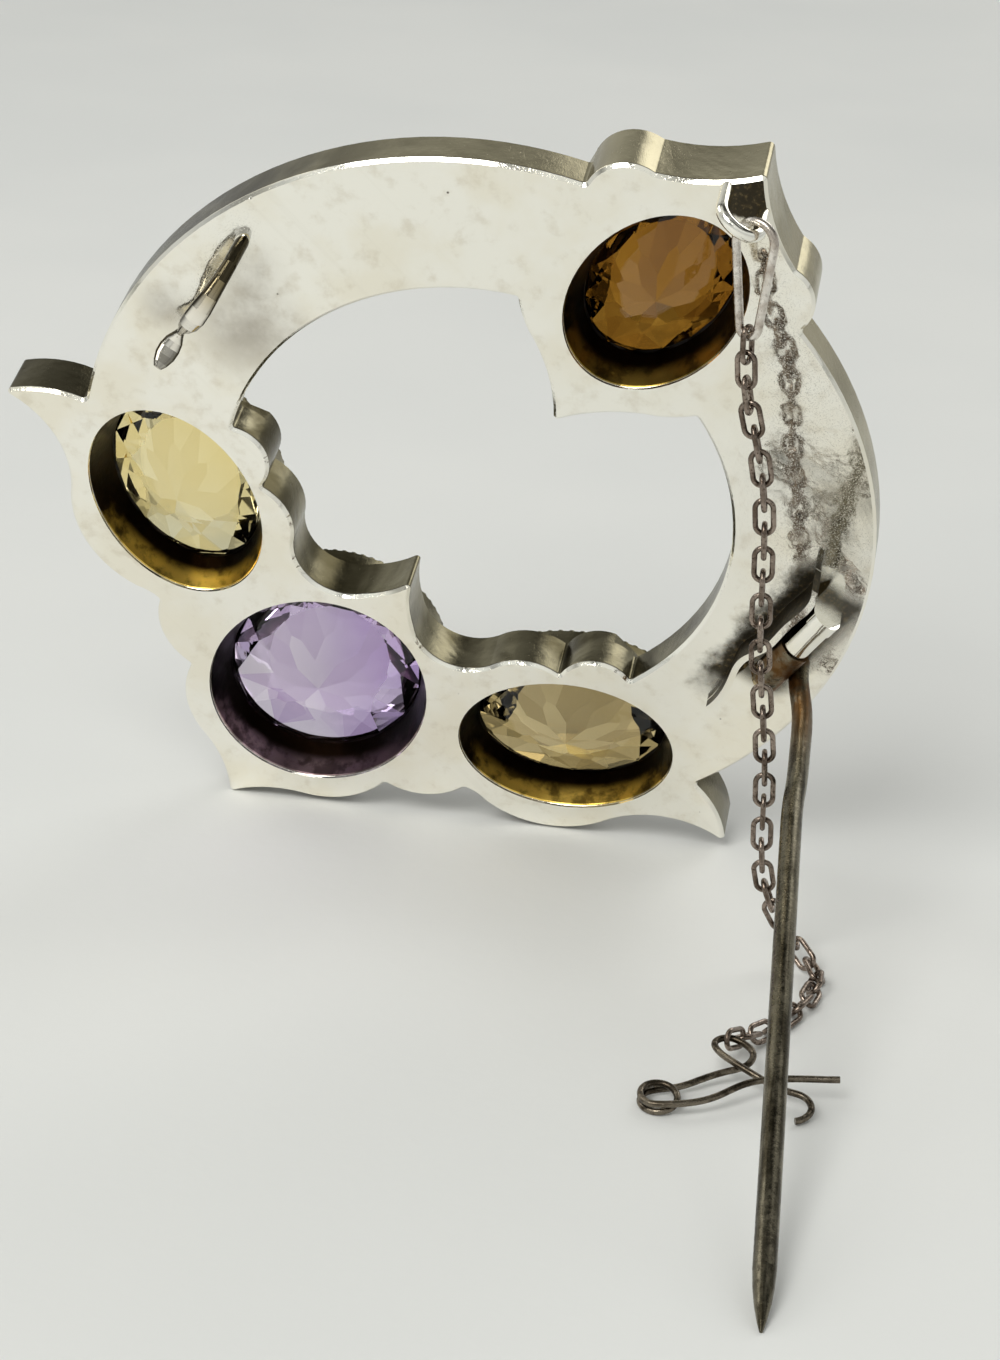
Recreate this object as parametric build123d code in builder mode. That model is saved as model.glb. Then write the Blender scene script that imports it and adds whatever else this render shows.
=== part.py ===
from build123d import *
from math import acos, atan2, ceil, cos, degrees, pi, radians, sin
import os

os.makedirs("parts", exist_ok=True)

# Silver and agate ring brooch, seen from its back, standing on the lobes of its lower edge
# and propped by its open pin. Millimetres, +Z up, the front of the brooch faces +Y.
# The origin lies on the surface that it stands on, under the middle of the whole thing.

# Silver plate
ring_radius = 26.0            # outer edge of the round ring
hole_radius = 16.6            # round part of the open middle
hole_rise = 0.5               # centre of the open middle above the ring's centre
ring_height = 2.6             # side wall of the plain ring
cluster_height = 3.5          # side wall of the three-stone crescent
cartouche_height = 4.2        # side wall of the one-stone cartouche
edge_bevel = 0.2              # worn edge round the back face
corner_round = 0.3            # worn corners of the outline
inner_corner_round = 0.22     # and of the open middle

# Stance
lean = 16.1                   # the top leans forward over the pin, degrees from upright
turn = 33.9                   # the long axis is turned clockwise from upright, degrees
ring_x = 1.46                 # ring's centre from the origin
ring_y = 17.72

# Stones, full length and width of each girdle
citrine_length = 12.9
citrine_width = 9.1
amethyst_length = 14.4
amethyst_width = 12.9
cairngorm_length = 11.6
cairngorm_width = 8.2
citrine_angle = 36.2          # slope of a citrine's length from the cross axis, degrees
girdle_depth = 3.0            # middle of the girdle below the back face
girdle_thickness = 0.35
crown_height = 1.9
table_share = 0.56            # table width as a share of the girdle's
pavilion_height = 2.55

# Collets that hold the stones
collet_height = 5.2           # front rim below the back face
collet_wall = 1.35            # from the stone's girdle to the outside
collet_flare = 1.0            # the opening at the back is this much wider than the stone, all round
collet_dish = 0.85            # the front rim opens this much wider than the stone
lip_share = 0.93              # the lip over the crown, as a share of the girdle
lip_depth = 0.55              # lip's edge in front of the girdle's middle
stone_gap = 0.1

# Agate panels let into the front of the ring
panels_a_side = 3
panel_first = -10.0           # polar angle where the lowest panel starts, degrees
panel_last = 64.0             # and where the highest ends
panel_rim = 1.15              # silver left along the ring's edges
panel_septum = 0.9            # silver between panels
agate_thickness = 1.55
agate_proud = 0.2
agate_gap = 0.07
agate_bevel = 0.3

# Hinge on the back
hinge_inset = 4.5             # hinge line inside the ring's outer edge
hinge_height = 2.0            # hinge line above the back face
knuckle_radius = 1.1          # of the pin's knuckle
fixed_knuckle_radius = 0.92
rivet_radius = 0.4
rivet_clearance = 0.05
fixed_knuckle_start = 6.6     # along the long axis
fixed_knuckle_length = 2.4
end_block_length = 0.9
end_block_radius = 1.02
knuckle_gap = 0.12
pin_knuckle_length = 3.3
rivet_head_radius = 0.72
rivet_head_length = 0.5
rivet_in_block = 0.25         # the rivet's end and its hole, as shares of the end block
hole_in_block = 0.5
leaf_thickness = 0.45
leaf_gap = 0.175              # from the pin's knuckle
leaf_start = -2.4
leaf_length = 13.6
leaf_wave = 0.8               # how far its lower end curls outwards
leaf_height = 2.3
leaf_low_end = 0.7
leaf_rise_end = 6.0           # it has its full height from here on

# Pin
stem_radius = 0.67
stem_root = 0.45              # lower end of the stem above the back face
stem_along = 4.6              # stem's place along the long axis
stem_offset = 1.6             # lower end of the stem outside the hinge line
stem_bend_out = 1.3           # the bent stretch leads this much further out
stem_bend_rise = 15.05
stem_straight = 33.2          # straight part
stem_slope = 4.65             # and its angle to the back's normal, degrees
taper_length = 4.0            # and the rounded point after it

# Catch, from the spoon at its free end to the soldered foot
catch_inset = 3.8             # inside the ring's outer edge
catch_start = -1.3
catch_length = 9.2
catch_height = 3.75
catch_width = 1.3
catch_wire = 0.8

# Loop on the cartouche's tip, and the long link that hangs from it
loop_wire = 0.42
loop_radius = 1.3
loop_height = 3.75
loop_inset = 2.132            # below the cartouche's tip
long_link_wire = 0.27
long_link_length = 6.9        # between the bends, on the wire's centre line
long_link_top = 1.25          # bend radii of the wire's centre line
long_link_bottom = 0.62
hang_gap = 0.14               # between the wires where one ring hangs in another

# Chain
link_length = 2.5             # outside
link_width = 1.44
link_wire = 0.17
link_slack = 0.246            # between one link and the next when the chain is straight
link_level = 0.62             # centres of the links that lie on the surface
first_twist = -6.0            # of each of the first few links against the one above, degrees
first_links = 4
chain_twist = -0.143          # and of those below, while the chain hangs
end_twist = -12.0             # on each of the last three links

# Safety pin
safety_length = 10.7          # from the coil to the point
safety_wire = 0.21
safety_tilt = 10.0            # its plane above the surface, degrees
safety_level = 0.43           # that plane's lower edge above the surface
safety_right = -0.74          # its lower left corner from the hanging chain, right
safety_near = 19.02           # and towards the viewer
coil_radius = 1.1
coil_turns = 1.5
coil_lead = 0.56              # along the coil's axis in one turn

# Directions of the standing brooch: across its width, along its long axis, out of its back
across = Vector(
    cos(radians(turn)),
    sin(radians(turn)) * sin(radians(lean)),
    -sin(radians(turn)) * cos(radians(lean)),
)
back_normal = Vector(0, -cos(radians(lean)), -sin(radians(lean)))
along = back_normal.cross(across)

# Outlines of the right half of the plate, arc by arc. Each row names the arc, a point that it
# passes and its end, across and along, as shares of the ring's radius.
outer_start = (0, 1.232)       # the cartouche's tip
outer_upper = [
    ("cartouche_hollow", 0.097, 1.135, 0.200, 1.075),
    ("cartouche_lobe", 0.284, 1.036, 0.304, 0.953),
]
outer_lower = [
    ("horn_back", 1.038, -0.392, 1.121, -0.470),
    ("horn_hollow", 0.946, -0.506, 0.842, -0.615),
    ("citrine_bulge", 0.714, -0.757, 0.550, -0.789),
    ("citrine_notch", 0.514, -0.783, 0.481, -0.787),
    ("small_lobe", 0.425, -0.877, 0.308, -0.921),
    ("amethyst_bulge", 0.262, -1.036, 0.158, -1.114),
    ("foot_hollow", 0.070, -1.168, 0, -1.250),
]
ring_arc_end = (0.936, -0.352)

# Places on the back that follow the ring
hinge_across = ring_radius - hinge_inset
catch_across = catch_inset - ring_radius
loop_along = outer_start[1] * ring_radius - loop_inset

inner_start = (0, 0.366)
inner_upper = [
    ("point_side", 0.086, 0.469, 0.188, 0.539),
]
point_shoulder = (0.225, 0.567)
inner_corner_angle = 66.0     # where the round part of the middle starts and ends, degrees
inner_lobe_angle = -18.2
inner_lower = [
    ("outer_lobe", 0.512, -0.183, 0.459, -0.289),
    ("inner_lobe", 0.369, -0.308, 0.304, -0.385),
    ("bite", 0.185, -0.459, 0.077, -0.408),
    ("cusp_side", 0.030, -0.352, 0, -0.290),
]


def on_ring(share):
    return share[0] * ring_radius, share[1] * ring_radius


def polar(radius, angle, rise=0.0):
    return radius * cos(radians(angle)), rise + radius * sin(radians(angle))


def arc_run(start, rows):
    """Draws the arcs of a table one after another and returns the last end."""
    for _, through_u, through_v, end_u, end_v in rows:
        end = on_ring((end_u, end_v))
        ThreePointArc(start, on_ring((through_u, through_v)), end)
        start = end
    return start


def corners(sketch):
    """Vertices where an outline clearly turns, without those where two arcs flow on."""
    found = []
    for vertex in sketch.vertices():
        spot = Vector(vertex.X, vertex.Y, vertex.Z)
        tangents = [
            edge % end for edge in sketch.edges() for end in (0, 1) if (edge @ end - spot).length < 1e-4
        ]
        angle = tangents[0].get_angle(tangents[1])
        if 6 < angle < 174:
            found.append(vertex)
    return found


with BuildSketch() as outline:
    with BuildLine():
        ring_start = arc_run(on_ring(outer_start), outer_upper)
        ThreePointArc(ring_start, polar(ring_radius, 26.0), on_ring(ring_arc_end))
        arc_run(on_ring(ring_arc_end), outer_lower)
        mirror(about=Plane.YZ)
    make_face()
    fillet(corners(outline), radius=corner_round)

with BuildSketch() as middle:
    with BuildLine():
        corner = polar(hole_radius, inner_corner_angle, hole_rise)
        lobe_start = polar(hole_radius, inner_lobe_angle, hole_rise)
        side_end = arc_run(on_ring(inner_start), inner_upper)
        ThreePointArc(side_end, on_ring(point_shoulder), corner)
        ThreePointArc(corner, polar(hole_radius, 20.0, hole_rise), lobe_start)
        arc_run(lobe_start, inner_lower)
        mirror(about=Plane.YZ)
    make_face()
    fillet(corners(middle), radius=inner_corner_round)

# The lowest lobes rest on the surface, which sets the height of the ring's centre
stood_up = outline.sketch.rotate(Axis.Z, -turn)
lowest_edge = -stood_up.bounding_box().min.Y * cos(radians(lean))
ring_z = lowest_edge - edge_bevel * sin(radians(lean))
back = Plane(origin=(ring_x, ring_y, ring_z), x_dir=across, z_dir=back_normal)


def at(u, v, h=0.0):
    """A point of the brooch: across, along, and above its back face."""
    return back.origin + across * u + along * v + back_normal * h


# Settings: name, place as shares of the ring's radius, stone length and width, slope, facets
settings = [
    ("amethyst", 0, -0.769, amethyst_length, amethyst_width, 90.0, 12),
    ("citrine_left", -0.604, -0.477, citrine_length, citrine_width, 180 - citrine_angle, 16),
    ("citrine_right", 0.604, -0.477, citrine_length, citrine_width, citrine_angle, 16),
    ("cairngorm", 0, 0.796, cairngorm_length, cairngorm_width, 90.0, 16),
]

# Raised fronts: the crescent lies below this line of points, the cartouche above its own
crescent_edge = [(0, -0.05), (0.606, -0.19), (0.936, -0.352), (1.3, -0.45), (1.3, -1.4), (0, -1.4)]
cartouche_edge = [(0, 0.3), (0.26, 0.3), (0.26, 0.6), (0.304, 0.953), (0.4, 1.3), (0, 1.3)]


def raised_front(edge_points, height):
    """The part of the plate inside a mirrored line of points, as thick as its side wall."""
    with BuildPart() as front:
        with BuildSketch(back):
            add(outline.sketch)
            add(middle.sketch, mode=Mode.SUBTRACT)
            with BuildLine():
                Polyline(*[on_ring(p) for p in edge_points])
                mirror(about=Plane.YZ)
            make_face(mode=Mode.INTERSECT)
        extrude(amount=-height)
    return front.part


crescent = raised_front(crescent_edge, cluster_height)
cartouche = raised_front(cartouche_edge, cartouche_height)


def panel_angles(index):
    """First and last polar angle of a panel's pocket on the right side."""
    septum_angle = degrees(panel_septum / (ring_radius - panel_rim))
    span = (panel_last - panel_first - septum_angle * (panels_a_side - 1)) / panels_a_side
    start = panel_first + index * (span + septum_angle)
    return start, start + span


def panel_sketch(index, side):
    """A curved panel as a flat face; side is 1 on the right, -1 on the left."""
    first, last = panel_angles(index)
    outer, inner = ring_radius - panel_rim, hole_radius + panel_rim
    with BuildSketch() as panel:
        with BuildLine():
            ThreePointArc(
                polar(outer, first), polar(outer, (first + last) / 2), polar(outer, last)
            )
            Line(polar(outer, last), polar(inner, last, hole_rise))
            ThreePointArc(
                polar(inner, last, hole_rise),
                polar(inner, (first + last) / 2, hole_rise),
                polar(inner, first, hole_rise),
            )
            Line(polar(inner, first, hole_rise), polar(outer, first))
        make_face()
    return panel.sketch if side > 0 else mirror(panel.sketch, about=Plane.YZ, mode=Mode.PRIVATE)


def setting_plane(setting, depth):
    """Plane of a setting at a depth below the back face, x along the stone's length."""
    _, u, v, _, _, slope, _ = setting
    x_dir = across * cos(radians(slope)) + along * sin(radians(slope))
    return Plane(origin=at(u * ring_radius, v * ring_radius, -depth), x_dir=x_dir, z_dir=back_normal)


def oval(setting, share, wider=0.0):
    """Oval round a stone: a share of its girdle, then wider all round."""
    return Ellipse(setting[3] / 2 * share + wider, setting[4] / 2 * share + wider)


# Inside of a collet: depth below the back face, share of the girdle, wider all round
girdle_back = girdle_depth - girdle_thickness / 2
girdle_front = girdle_depth + girdle_thickness / 2
lip_width = 0.1
cut_past = 0.01               # cuts run this much past a face
collet_profile = [
    (-cut_past, 1, collet_flare),
    (girdle_back - stone_gap, 1, stone_gap),
    (girdle_front + stone_gap / 2, 1, stone_gap),
    (girdle_depth + lip_depth, lip_share, stone_gap),
    (girdle_depth + lip_depth + lip_width, lip_share, stone_gap),
    (collet_height + cut_past, 1, collet_dish),
]

# Hinge leaf: a wavy strip on edge beside the pin's knuckle. Its curl outwards and its place
# along, as shares of the wave and of its length.
leaf_line = [
    (1.0, 0.0), (0.79, 0.147), (0.15, 0.272), (-0.34, 0.36), (-0.4, 0.441), (-0.05, 0.529),
    (0.0, 0.654), (-0.03, 0.765), (0.08, 0.912), (-0.55, 1.0),
]

with BuildPart() as leaf:
    leaf_outer = hinge_across - knuckle_radius - leaf_gap
    with BuildSketch(back):
        with BuildLine():
            outside = Spline(
                *[(leaf_outer + u * leaf_wave, leaf_start + v * leaf_length) for u, v in leaf_line]
            )
            inside = Spline(
                *[
                    (leaf_outer - leaf_thickness + u * leaf_wave, leaf_start + v * leaf_length)
                    for u, v in leaf_line
                ]
            )
            Line(outside @ 0, inside @ 0)
            Line(outside @ 1, inside @ 1)
        make_face()
    extrude(amount=leaf_height)
    slope_low = at(hinge_across, leaf_start, leaf_low_end)
    slope_high = at(hinge_across, leaf_rise_end, leaf_height)
    slope_dir = (slope_high - slope_low).normalized()
    split(
        bisect_by=Plane(origin=slope_low, x_dir=across, z_dir=across.cross(slope_dir)),
        keep=Keep.BOTTOM,
    )

# Catch: a flattened wire that arches over the pin. Sections along it: place along and above the
# back face, width and thickness, as shares of its length, height, width and wire.
catch_sections = [
    ("tip", 0.0, 0.83, 0.42, 0.5),
    ("tip_round", 0.025, 0.76, 0.74, 0.6),
    ("spoon", 0.065, 0.65, 1.02, 0.69),
    ("spoon_low", 0.11, 0.55, 1.06, 0.72),
    ("heel", 0.163, 0.48, 0.9, 0.75),
    ("heel_end", 0.215, 0.46, 0.57, 0.78),
    ("neck", 0.26, 0.48, 0.39, 0.81),
    ("neck_end", 0.31, 0.56, 0.5, 0.85),
    ("rise", 0.38, 0.71, 0.78, 0.92),
    ("shoulder", 0.46, 0.86, 0.97, 0.97),
    ("crest", 0.56, 0.975, 1.06, 1.0),
    ("crest_end", 0.66, 0.985, 1.02, 1.02),
    ("fall", 0.76, 0.91, 0.88, 1.05),
    ("ankle", 0.86, 0.74, 0.76, 1.08),
    ("heel_of_foot", 0.94, 0.49, 0.7, 1.12),
    ("foot", 1.0, -0.027, 0.7, 1.875),
]

with BuildPart() as catch:
    catch_line = [
        (catch_start + v * catch_length, h * catch_height) for _, v, h, _, _ in catch_sections
    ]
    for index, (_, _, _, width, thickness) in enumerate(catch_sections):
        before = catch_line[max(index - 1, 0)]
        after = catch_line[min(index + 1, len(catch_line) - 1)]
        run = along * (after[0] - before[0]) + back_normal * (after[1] - before[1])
        with BuildSketch(Plane(origin=at(catch_across, *catch_line[index]), x_dir=across, z_dir=run)):
            Ellipse(width * catch_width / 2, thickness * catch_wire / 2)
    loft(ruled=True)

# Loop on the cartouche's tip, an arch of wire
loop_plane = Plane(origin=at(0, loop_along), x_dir=across, z_dir=across.cross(back_normal))
loop_spring = loop_height - loop_wire - loop_radius

with BuildPart() as chain_loop:
    with BuildLine(loop_plane) as loop_path:
        Line((-loop_radius, -edge_bevel), (-loop_radius, loop_spring))
        ThreePointArc(
            (-loop_radius, loop_spring), (0, loop_spring + loop_radius), (loop_radius, loop_spring)
        )
        Line((loop_radius, loop_spring), (loop_radius, -edge_bevel))
    with BuildSketch(Plane(origin=loop_path.line @ 0, z_dir=loop_path.line % 0)):
        Circle(loop_wire)
    sweep(path=loop_path.line)

# Hinge line, from its lower end
hinge_plane = Plane(
    origin=at(hinge_across, 0, hinge_height), x_dir=across, z_dir=along
)
block_start = fixed_knuckle_start + fixed_knuckle_length
pin_knuckle_start = fixed_knuckle_start - knuckle_gap - pin_knuckle_length

# Silver mount: plate, raised fronts, collets, panel pockets, hinge, catch and loop, all
# soldered into one piece
with BuildPart() as silver_mount:
    with BuildSketch(back):
        add(outline.sketch)
        add(middle.sketch, mode=Mode.SUBTRACT)
    extrude(amount=-ring_height)
    add(crescent)
    add(cartouche)
    back_face = silver_mount.faces().sort_by(Axis(back.origin, back_normal))[-1]
    chamfer(back_face.edges(), length=edge_bevel)
    for index in range(panels_a_side):
        for side in (1, -1):
            with BuildSketch(back.offset(-ring_height)):
                add(panel_sketch(index, side))
            extrude(amount=agate_thickness - agate_proud + agate_gap, mode=Mode.SUBTRACT)
    for setting in settings:
        with BuildSketch(setting_plane(setting, ring_height)):
            oval(setting, 1, stone_gap + collet_wall)
        extrude(amount=ring_height - collet_height)
    for setting in settings:
        for depth, share, wider in collet_profile:
            with BuildSketch(setting_plane(setting, depth)):
                oval(setting, share, wider)
        loft(ruled=True, mode=Mode.SUBTRACT)
    add(leaf.part)
    add(catch.part)
    add(chain_loop.part)
    with BuildSketch(hinge_plane.offset(fixed_knuckle_start)):
        Circle(fixed_knuckle_radius)
        Rectangle(2 * fixed_knuckle_radius, hinge_height, align=(Align.CENTER, Align.MIN))
    extrude(amount=fixed_knuckle_length)
    with BuildSketch(hinge_plane.offset(block_start)):
        Circle(end_block_radius)
        Rectangle(2 * end_block_radius, hinge_height, align=(Align.CENTER, Align.MIN))
    extrude(amount=end_block_length)
    with BuildSketch(hinge_plane.offset(fixed_knuckle_start)):
        Circle(rivet_radius + rivet_clearance)
    extrude(amount=fixed_knuckle_length + end_block_length * hole_in_block, mode=Mode.SUBTRACT)

silver_mount.part.label = "silver_mount"
export_step(silver_mount.part, "parts/silver_mount.step")

# Cut stones: an even number of facets in tiers. Each tier gives its side (1 back, -1 front), the
# number of facets, the first one's angle in facet steps, and two points of the facet as shares of
# the girdle's size and of the height of that side.
stone_sides = 16
flat_share = cos(pi / stone_sides)
tiers = [
    ("crown_mains", -1, 8, 0.0, 1.0, 0.0, table_share, 1.0),
    ("crown_girdle", -1, 16, 0.5, flat_share, 0.0, 0.70, 0.77),
    ("crown_stars", -1, 8, 0.5, table_share, 1.0, 0.86, 0.56),
    ("pavilion_mains", 1, 8, 0.0, 1.0, 0.0, 0.0, 1.04),
    ("pavilion_girdle", 1, 16, 0.5, flat_share, 0.0, 0.30, 0.76),
    ("pavilion_culet", 1, 8, 0.5, 0.31, 0.70, 0.0, 0.98),
]


def facet_plane(setting, side, angle, share_a, depth_a, share_b, depth_b):
    """Plane of one facet, looking out of the stone."""
    stone = setting_plane(setting, girdle_depth)
    half_length, half_width = setting[3] / 2, setting[4] / 2
    face_height = pavilion_height if side > 0 else crown_height
    rise = (depth_b - depth_a) * face_height
    run = share_a - share_b
    if rise < 0:
        rise, run = -rise, -run
    normal = Vector(rise * cos(angle) / half_length, rise * sin(angle) / half_width, side * run)
    spot = Vector(
        half_length * share_a * cos(angle),
        half_width * share_a * sin(angle),
        side * (girdle_thickness / 2 + depth_a * face_height),
    )
    return Plane(
        origin=stone.from_local_coords(spot),
        z_dir=stone.from_local_coords(normal) - stone.origin,
    )


def cut_stone(setting):
    with BuildPart() as stone:
        corner_angles = [2 * pi * k / stone_sides for k in range(stone_sides)]
        half_length, half_width = setting[3] / 2, setting[4] / 2
        with BuildSketch(setting_plane(setting, girdle_front + crown_height)):
            with BuildLine():
                Polyline(
                    *[(half_length * cos(a), half_width * sin(a)) for a in corner_angles], close=True
                )
            make_face()
        extrude(amount=crown_height + girdle_thickness + pavilion_height)
        for _, side, count, first, share_a, depth_a, share_b, depth_b in tiers:
            for k in range(count):
                angle = 2 * pi * (k + first) / count
                facet = facet_plane(setting, side, angle, share_a, depth_a, share_b, depth_b)
                split(bisect_by=facet, keep=Keep.BOTTOM)
    stone.part.label = setting[0]
    return stone


stones = {setting[0]: cut_stone(setting) for setting in settings}
for name, stone in stones.items():
    export_step(stone.part, f"parts/{name}.step")

# Agate panels, numbered from the lower right upwards, then the left side
agate_panels = []
for side in (1, -1):
    for index in range(panels_a_side):
        with BuildPart() as agate_panel:
            with BuildSketch(back.offset(-(ring_height + agate_proud))):
                add(panel_sketch(index, side))
                offset(amount=-agate_gap, mode=Mode.REPLACE)
            extrude(amount=agate_thickness)
            front_face = agate_panel.faces().sort_by(Axis(back.origin, back_normal))[0]
            chamfer(front_face.edges(), length=agate_bevel)
        agate_panel.part.label = f"agate_panel_{len(agate_panels) + 1}"
        agate_panels.append(agate_panel)
        export_step(agate_panel.part, f"parts/{agate_panel.part.label}.step")

# Rivet through both knuckles, its head at the lower end
rivet_start = pin_knuckle_start - knuckle_gap - rivet_head_length
with BuildPart() as hinge_rivet:
    with BuildSketch(hinge_plane.offset(rivet_start)):
        Circle(rivet_head_radius)
    extrude(amount=rivet_head_length)
    with BuildSketch(hinge_plane.offset(rivet_start)):
        Circle(rivet_radius)
    extrude(amount=block_start - rivet_start + end_block_length * rivet_in_block)
    chamfer(hinge_rivet.edges().sort_by(Axis(at(0, 0), along))[0], length=rivet_head_length / 3)

hinge_rivet.part.label = "hinge_rivet"
export_step(hinge_rivet.part, "parts/hinge_rivet.step")

# Pin: a rolled knuckle and a long wire soldered beside it. The wire's bent stretch, outwards and
# upwards as shares of its bend, leads into the straight part.
stem_bends = [(0, 0), (0.092, 0.11), (0.538, 0.276), (0.808, 0.515), (0.923, 0.734), (1, 1)]
stem_plane = Plane(origin=at(0, stem_along), x_dir=across, z_dir=across.cross(back_normal))
stem_points = [
    (hinge_across + stem_offset + out * stem_bend_out, stem_root + rise * stem_bend_rise)
    for out, rise in stem_bends
]
# The point, along it and its radius as shares of the taper's length and of the stem's radius
point_sections = [(0, 1), (0.3, 0.9), (0.6, 0.68), (0.85, 0.38), (1, 0.14)]
stem_dir = across * sin(radians(stem_slope)) + back_normal * cos(radians(stem_slope))
straight_start = at(stem_points[-1][0], stem_along, stem_points[-1][1])
straight_plane = Plane(origin=straight_start, z_dir=stem_dir)

with BuildPart() as brooch_pin:
    with BuildLine(stem_plane) as bent_path:
        Spline(*stem_points, tangents=[back_normal, stem_dir])
    with BuildSketch(Plane(origin=bent_path.line @ 0, z_dir=back_normal)):
        Circle(stem_radius)
    sweep(path=bent_path.line)
    with BuildSketch(straight_plane):
        Circle(stem_radius)
    extrude(amount=stem_straight)
    for length_share, radius_share in point_sections:
        with BuildSketch(straight_plane.offset(stem_straight + taper_length * length_share)):
            Circle(stem_radius * radius_share)
    loft(ruled=True)
    with BuildSketch(hinge_plane.offset(pin_knuckle_start)):
        Circle(knuckle_radius)
    extrude(amount=pin_knuckle_length)
    with BuildSketch(hinge_plane.offset(pin_knuckle_start)):
        Circle(rivet_radius + rivet_clearance)
    extrude(amount=pin_knuckle_length, mode=Mode.SUBTRACT)

brooch_pin.part.label = "brooch_pin"
export_step(brooch_pin.part, "parts/brooch_pin.step")

# Long link: a teardrop ring of wire that hangs from the lowest point of the loop's arch
hang_across = Vector(along.X, along.Y, 0).normalized()
low_angle = atan2(-back_normal.Z, -across.Z)
arch_low = at(
    loop_radius * cos(low_angle), loop_along, loop_spring + loop_radius * sin(low_angle)
)
top_bend = arch_low - Vector(0, 0, long_link_top - long_link_wire - loop_wire - hang_gap)
link_plane = Plane(origin=top_bend, x_dir=hang_across, z_dir=hang_across.cross(Vector(0, 0, 1)))
bend_distance = long_link_length - long_link_top - long_link_bottom
side_angle = acos((long_link_top - long_link_bottom) / bend_distance)

with BuildPart() as long_link:
    with BuildLine(link_plane) as link_path:
        top_right = (long_link_top * sin(side_angle), -long_link_top * cos(side_angle))
        top_left = (-top_right[0], top_right[1])
        low_right = (
            long_link_bottom * sin(side_angle), -bend_distance - long_link_bottom * cos(side_angle)
        )
        low_left = (-low_right[0], low_right[1])
        ThreePointArc(top_right, (0, long_link_top), top_left)
        Line(top_left, low_left)
        ThreePointArc(low_left, (0, -bend_distance - long_link_bottom), low_right)
        Line(low_right, top_right)
    with BuildSketch(Plane(origin=link_path.line @ 0, z_dir=link_path.line % 0)):
        Circle(long_link_wire)
    sweep(path=link_path.line)

long_link.part.label = "long_link"
export_step(long_link.part, "parts/long_link.step")

# Chain of oval links, one node. Its centre line falls from the long link to the surface and runs
# on to the safety pin: across, away and up, measured from the first link and from the surface.
link_end = link_length / 2 - link_wire
link_bend = link_width / 2 - link_wire
link_side = link_end - link_bend
link_pitch = 2 * (link_end - link_wire) - link_slack
long_link_low = top_bend - Vector(0, 0, bend_distance + long_link_bottom)
chain_start = long_link_low + Vector(0, 0, long_link_wire + link_wire + hang_gap - link_end)
chain_route = [
    (0, 0, chain_start.Z),
    (0.06, 0.0, chain_start.Z - 1.7),
    (0.35, 0.01, chain_start.Z - 3.6),
    (1.16, 0.05, 35.0),
    (2.14, 0.49, 22.7),
    (3.1, 1.0, 12.7),
    (3.47, 1.22, 6.5),
    (4.39, 1.65, 3.6),
    (5.54, 1.59, 1.9),
    (6.6, 0.7, 1.0),
    (7.23, -0.02, link_level + 0.05),
    (7.5, -1.6, link_level),
    (7.35, -3.2, link_level),
    (6.75, -5.0, link_level),
    (5.95, -6.8, link_level + 0.02),
    (5.05, -8.45, link_level + 0.12),
    (4.1, -9.95, link_level + 0.45),
    (3.38, -11.46, 1.65),
]

with BuildPart() as chain_link:
    with BuildLine() as oval_path:
        Line((-link_side, link_bend), (link_side, link_bend))
        ThreePointArc((link_side, link_bend), (link_end, 0), (link_side, -link_bend))
        Line((link_side, -link_bend), (-link_side, -link_bend))
        ThreePointArc((-link_side, -link_bend), (-link_end, 0), (-link_side, link_bend))
    with BuildSketch(Plane(origin=oval_path.line @ 0, z_dir=oval_path.line % 0)):
        Circle(link_wire)
    sweep(path=oval_path.line)

with BuildLine():
    chain_line = Spline(*[(chain_start.X + x, chain_start.Y + y, z) for x, y, z in chain_route])
link_steps = ceil(chain_line.length / link_pitch)
centres = [chain_line @ (k / link_steps) for k in range(link_steps + 1)]

link_planes = []
width_dir = link_plane.z_dir
for k, centre in enumerate(centres):
    run = (centres[min(k + 1, link_steps)] - centres[max(k - 1, 0)]).normalized()
    width_dir = (width_dir - run * width_dir.dot(run)).normalized()
    twist = 0.0
    if k > 0 and centre.Z > 5 * link_level:
        twist = first_twist if k <= first_links else chain_twist
    if k > link_steps - 3:
        twist = end_twist
    width_dir = width_dir.rotate(Axis((0, 0, 0), run), twist)
    flat_dir = run.cross(width_dir)
    link_planes.append(Plane(origin=centre, x_dir=run, z_dir=width_dir if k % 2 else flat_dir))

with BuildPart() as chain:
    with Locations(*link_planes):
        add(chain_link.part)

chain.part.label = "chain"
export_step(chain.part, "parts/chain.step")

# Safety pin of one bent wire: point, coil, eye and head. Its plane rises away from the viewer.
# Points in that plane and above it, from its lower left.
safety_plane = Plane(
    origin=(chain_start.X + safety_right, chain_start.Y - safety_near, safety_level),
    x_dir=(1, 0, 0),
    z_dir=(0, -sin(radians(safety_tilt)), cos(radians(safety_tilt))),
)
coil_centre = (0.3, 1.6)
coil_start_angle = -70.0
coil_steps = 8                # points in one turn
coil_level = 1.43             # where the coil starts above the plane, in wires

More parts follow.
